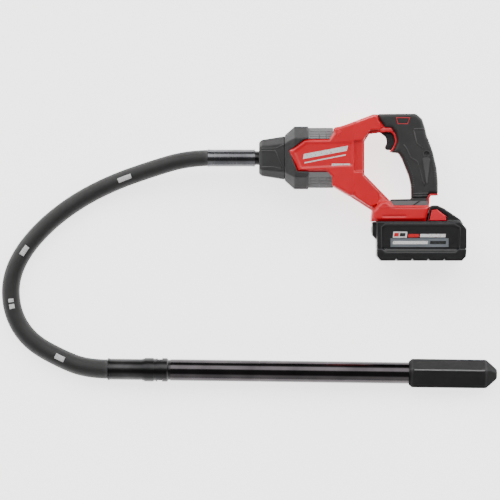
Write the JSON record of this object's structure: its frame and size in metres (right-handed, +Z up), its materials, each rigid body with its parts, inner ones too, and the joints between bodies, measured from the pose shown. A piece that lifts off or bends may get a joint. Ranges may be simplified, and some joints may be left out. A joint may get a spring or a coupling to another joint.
{
  "type": "concrete vibrator",
  "caption": "Cordless poker vibrator for concrete: battery power unit with D-handle and trigger, flexible hose shaft and long steel vibrating head with a square rubber tip, lying on its side.",
  "frame": {"origin": "centre of the power unit's footprint as it lies on its side, at floor level, measured without the flexible shaft and head", "axes": "+X from the nose to the rear of the battery, +Y from the battery's base to the top of the handle, +Z up, across the housing"},
  "size_m": [0.7252, 0.4013, 0.084],
  "materials": {
    "red_nylon": "moulded glass-filled nylon, fine texture",
    "black_overmould": "thermoplastic rubber, matte",
    "grey_nylon": "moulded nylon, matte",
    "black_nylon": "moulded nylon, matte",
    "battery_black": "moulded nylon, fine texture",
    "label_silver": "satin foil plate",
    "cast_aluminium": "die cast",
    "zinc_steel": "zinc plated",
    "bearing_steel": "ground",
    "lamination_steel": "stacked laminations",
    "spring_steel": "drawn wire",
    "circuit_board": "solder resist",
    "cell_wrap": "shrink wrapped steel cans",
    "copper_contact": "tinned copper",
    "hose_rubber": "wrapped rubber hose, matte",
    "core_wire": "wound steel wire core, greased",
    "ferrule_steel": "blackened, turned",
    "polished_steel": "polished hardened steel",
    "seal_rubber": "nitrile",
    "tip_rubber": "moulded rubber, matte"
  },
  "bodies": {
    "root": {"housing_left": "red_nylon", "housing_right": "red_nylon", "grip_left": "black_overmould", "grip_right": "black_overmould", "nose_boot": "black_overmould", "bumper_collar": "black_overmould", "vent_insert_top": "grey_nylon", "vent_insert_bottom": "grey_nylon", "foot_insert": "grey_nylon", "spindle_housing": "cast_aluminium", "shaft_retainer": "zinc_steel", "front_bearing": "bearing_steel", "rear_bearing": "bearing_steel", "stator": "lamination_steel", "trigger_spring": "spring_steel", "switch_module": "black_nylon", "controller_board": "circuit_board", "terminal_block": "black_nylon", "housing_screws": "zinc_steel", "hose": "hose_rubber", "drive_core": "core_wire", "hose_ferrule": "ferrule_steel", "shaft_neck": "ferrule_steel", "head_ferrule": "ferrule_steel", "head_coupling": "ferrule_steel", "head_tube_rear": "polished_steel", "head_tube_front": "polished_steel", "head_bearing_rear": "bearing_steel", "head_bearing_front": "bearing_steel", "head_seal": "seal_rubber", "head_end_plug": "bearing_steel", "rubber_tip": "tip_rubber"},
    "rotor": {"rotor": "lamination_steel", "motor_shaft": "bearing_steel", "cooling_fan": "black_nylon", "drive_socket": "bearing_steel", "core_end": "bearing_steel"},
    "eccentric": {"eccentric_weight": "bearing_steel", "head_drive_shaft": "bearing_steel"},
    "battery": {"battery_case_upper": "battery_black", "battery_case_lower": "battery_black", "battery_cells": "cell_wrap", "battery_board": "circuit_board", "battery_contacts": "copper_contact", "battery_labels": "label_silver", "latch_spring_left": "spring_steel", "latch_spring_right": "spring_steel"},
    "trigger": {"trigger": "black_nylon"},
    "lock": {"lock_button": "black_nylon"},
    "latch_l": {"latch_left": "red_nylon"},
    "latch_r": {"latch_right": "red_nylon"},
    "gauge": {"gauge_button": "grey_nylon"}
  },
  "joints": [
    {"name": "rotor_spin", "type": "hinge", "parent": "root", "child": "rotor", "pos_m": [-0.05, 0.0428, 0.042], "axis": [1, 0, 0], "continuous": true},
    {"name": "eccentric_spin", "type": "hinge", "parent": "root", "child": "eccentric", "pos_m": [-0.371, -0.2658, 0.0213], "axis": [0.9999, -0.0131, 0], "continuous": true},
    {"name": "trigger_pull", "type": "slide", "parent": "root", "child": "trigger", "axis": [1, 0, 0], "range_m": [0, 0.007], "stiffness_N_per_m": 600, "springref_m": -0.004, "deforming": ["trigger_spring"]},
    {"name": "lock_slide", "type": "slide", "parent": "root", "child": "lock", "axis": [0, 0, 1], "range_m": [0, 0.004]},
    {"name": "battery_release", "type": "slide", "parent": "root", "child": "battery", "axis": [1, 0, 0], "range_m": [0, 0.095]},
    {"name": "latch_left_press", "type": "slide", "parent": "battery", "child": "latch_l", "axis": [0, 0, -1], "range_m": [0, 0.003], "stiffness_N_per_m": 1500, "springref_m": -0.001, "deforming": ["latch_spring_left"]},
    {"name": "latch_right_press", "type": "slide", "parent": "battery", "child": "latch_r", "axis": [0, 0, 1], "range_m": [0, 0.003], "stiffness_N_per_m": 1500, "springref_m": -0.001, "deforming": ["latch_spring_right"]},
    {"name": "gauge_press", "type": "slide", "parent": "battery", "child": "gauge", "axis": [1, 0, 0], "range_m": [0, 0.001], "stiffness_N_per_m": 800, "springref_m": -0.0005}
  ],
  "couplings": [
    {"joint": "eccentric_spin", "follows": "rotor_spin", "ratio": -1}
  ]
}
